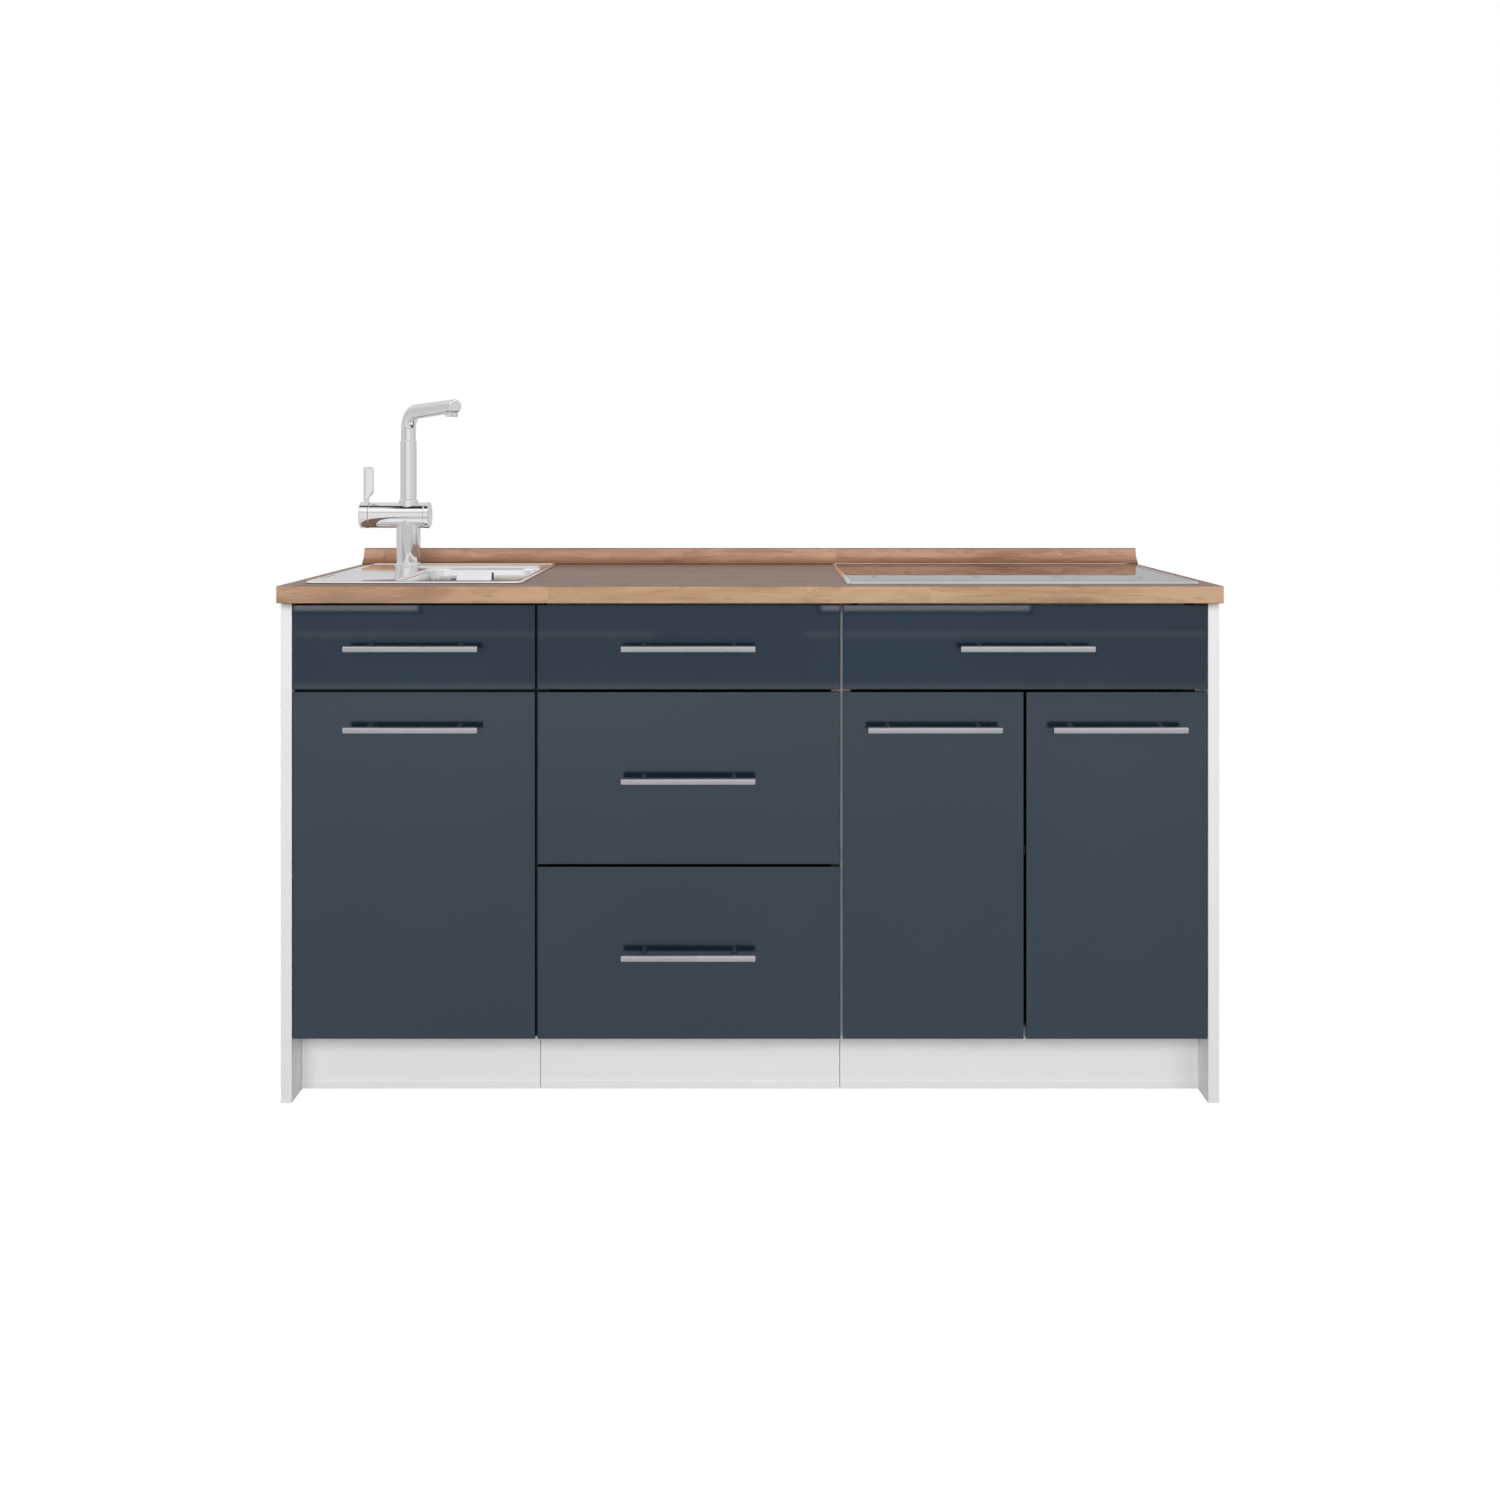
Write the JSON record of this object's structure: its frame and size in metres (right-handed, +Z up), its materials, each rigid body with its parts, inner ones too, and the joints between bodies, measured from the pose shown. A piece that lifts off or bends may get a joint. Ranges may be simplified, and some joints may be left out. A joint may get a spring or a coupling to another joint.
{
  "type": "kitchenette unit with sink and hob",
  "caption": "Kitchenette run of base units with drawers and doors under an oak-look worktop, with an inset sink, a side-lever mixer tap and a framed glass hob.",
  "frame": {"origin": "on the floor, under the middle of the box round the whole unit", "axes": "+X to the right along the worktop, +Y back to the wall, +Z up; the fronts and handles face -Y"},
  "size_m": [1.536, 0.609, 1.1661],
  "materials": {
    "white": "white melamine-faced board",
    "gloss_front": "high-gloss dark slate foil",
    "oak_worktop": "oak-look laminate",
    "oak_trim": "oak-look plastic trim",
    "handle_steel": "satin",
    "fittings": "nickel plated",
    "runner_steel": "light grey powder coat",
    "sink_steel": "polished stainless steel",
    "white_plastic": "white plastic pipe",
    "tap_chrome": "polished",
    "brass_nut": "plain brass",
    "hob_trim": "bevelled steel frame",
    "hob_glass": "black glass ceramic",
    "hob_casing": "galvanised sheet"
  },
  "bodies": {
    "cabinet": {"end_panel_left": "white", "end_panel_right": "white", "unit_1_sides": "white", "unit_2_sides": "white", "unit_3_sides": "white", "carcass_bottoms": "white", "carcass_rails": "white", "unit_3_shelf": "white", "unit_2_back": "white", "unit_3_back": "white", "plinth_boards": "white", "sink_front_panel": "gloss_front", "worktop": "oak_worktop", "upstand_strip": "oak_trim", "upstand_end_caps": "oak_trim", "sink_front_handle": "handle_steel", "shelf_pins": "fittings", "hinge_arms": "fittings", "sink_clips": "fittings", "cabinet_runners": "runner_steel", "sink": "sink_steel", "sink_waste": "sink_steel", "bottle_trap": "white_plastic", "sink_overflow": "white_plastic", "tap_body": "tap_chrome", "tap_shank_nut": "brass_nut", "hob_frame": "hob_trim", "hob_glass": "hob_glass", "hob_casing": "hob_casing"},
    "sink_door": {"sink_door": "gloss_front", "sink_door_handle": "handle_steel", "sink_door_hinge_cups": "fittings"},
    "hob_door_left": {"hob_door_left": "gloss_front", "hob_door_left_handle": "handle_steel", "hob_door_left_hinge_cups": "fittings"},
    "hob_door_right": {"hob_door_right": "gloss_front", "hob_door_right_handle": "handle_steel", "hob_door_right_hinge_cups": "fittings"},
    "top_drawer": {"top_drawer_front": "gloss_front", "top_drawer_handle": "handle_steel", "top_drawer_sides": "runner_steel", "top_drawer_base": "white"},
    "middle_drawer": {"middle_drawer_front": "gloss_front", "middle_drawer_handle": "handle_steel", "middle_drawer_sides": "runner_steel", "middle_drawer_base": "white"},
    "bottom_drawer": {"bottom_drawer_front": "gloss_front", "bottom_drawer_handle": "handle_steel", "bottom_drawer_sides": "runner_steel", "bottom_drawer_base": "white"},
    "hob_drawer": {"hob_drawer_front": "gloss_front", "hob_drawer_handle": "handle_steel", "hob_drawer_sides": "runner_steel", "hob_drawer_base": "white"},
    "spout": {"spout_pipe": "tap_chrome", "spout_aerator": "tap_chrome"},
    "lever_hub": {"tap_lever_hub": "tap_chrome", "tap_lever_pin": "fittings"},
    "lever": {"tap_lever": "tap_chrome"},
    "basket": {"strainer_basket": "sink_steel"}
  },
  "joints": [
    {"name": "top_drawer_slide", "type": "slide", "parent": "cabinet", "child": "top_drawer", "axis": [0, -1, 0], "range_m": [0, 0.35]},
    {"name": "middle_drawer_slide", "type": "slide", "parent": "cabinet", "child": "middle_drawer", "axis": [0, -1, 0], "range_m": [0, 0.35]},
    {"name": "bottom_drawer_slide", "type": "slide", "parent": "cabinet", "child": "bottom_drawer", "axis": [0, -1, 0], "range_m": [0, 0.35]},
    {"name": "hob_drawer_slide", "type": "slide", "parent": "cabinet", "child": "hob_drawer", "axis": [0, -1, 0], "range_m": [0, 0.35]},
    {"name": "sink_door_hinge", "type": "hinge", "parent": "cabinet", "child": "sink_door", "pos_m": [-0.7415, -0.2655, 0.389], "axis": [0, 0, -1], "range_deg": [0, 110]},
    {"name": "hob_door_left_hinge", "type": "hinge", "parent": "cabinet", "child": "hob_door_left", "pos_m": [0.1585, -0.2655, 0.389], "axis": [0, 0, -1], "range_deg": [0, 90]},
    {"name": "hob_door_right_hinge", "type": "hinge", "parent": "cabinet", "child": "hob_door_right", "pos_m": [0.7415, -0.2655, 0.389], "axis": [0, 0, 1], "range_deg": [0, 110]},
    {"name": "spout_swivel", "type": "hinge", "parent": "cabinet", "child": "spout", "pos_m": [-0.66, 0.2045, 0.97], "axis": [0, 0, 1], "range_deg": [-85, 50]},
    {"name": "lever_turn", "type": "hinge", "parent": "cabinet", "child": "lever_hub", "pos_m": [-0.7346, 0.2045, 0.9475], "axis": [1, 0, 0], "range_deg": [-35, 35]},
    {"name": "lever_tilt", "type": "hinge", "parent": "lever_hub", "child": "lever", "pos_m": [-0.7412, 0.2045, 0.9595], "axis": [0, -1, 0], "range_deg": [0, 18]},
    {"name": "basket_lift", "type": "slide", "parent": "cabinet", "child": "basket", "axis": [0, 0, 1], "range_m": [0, 0.01]}
  ]
}
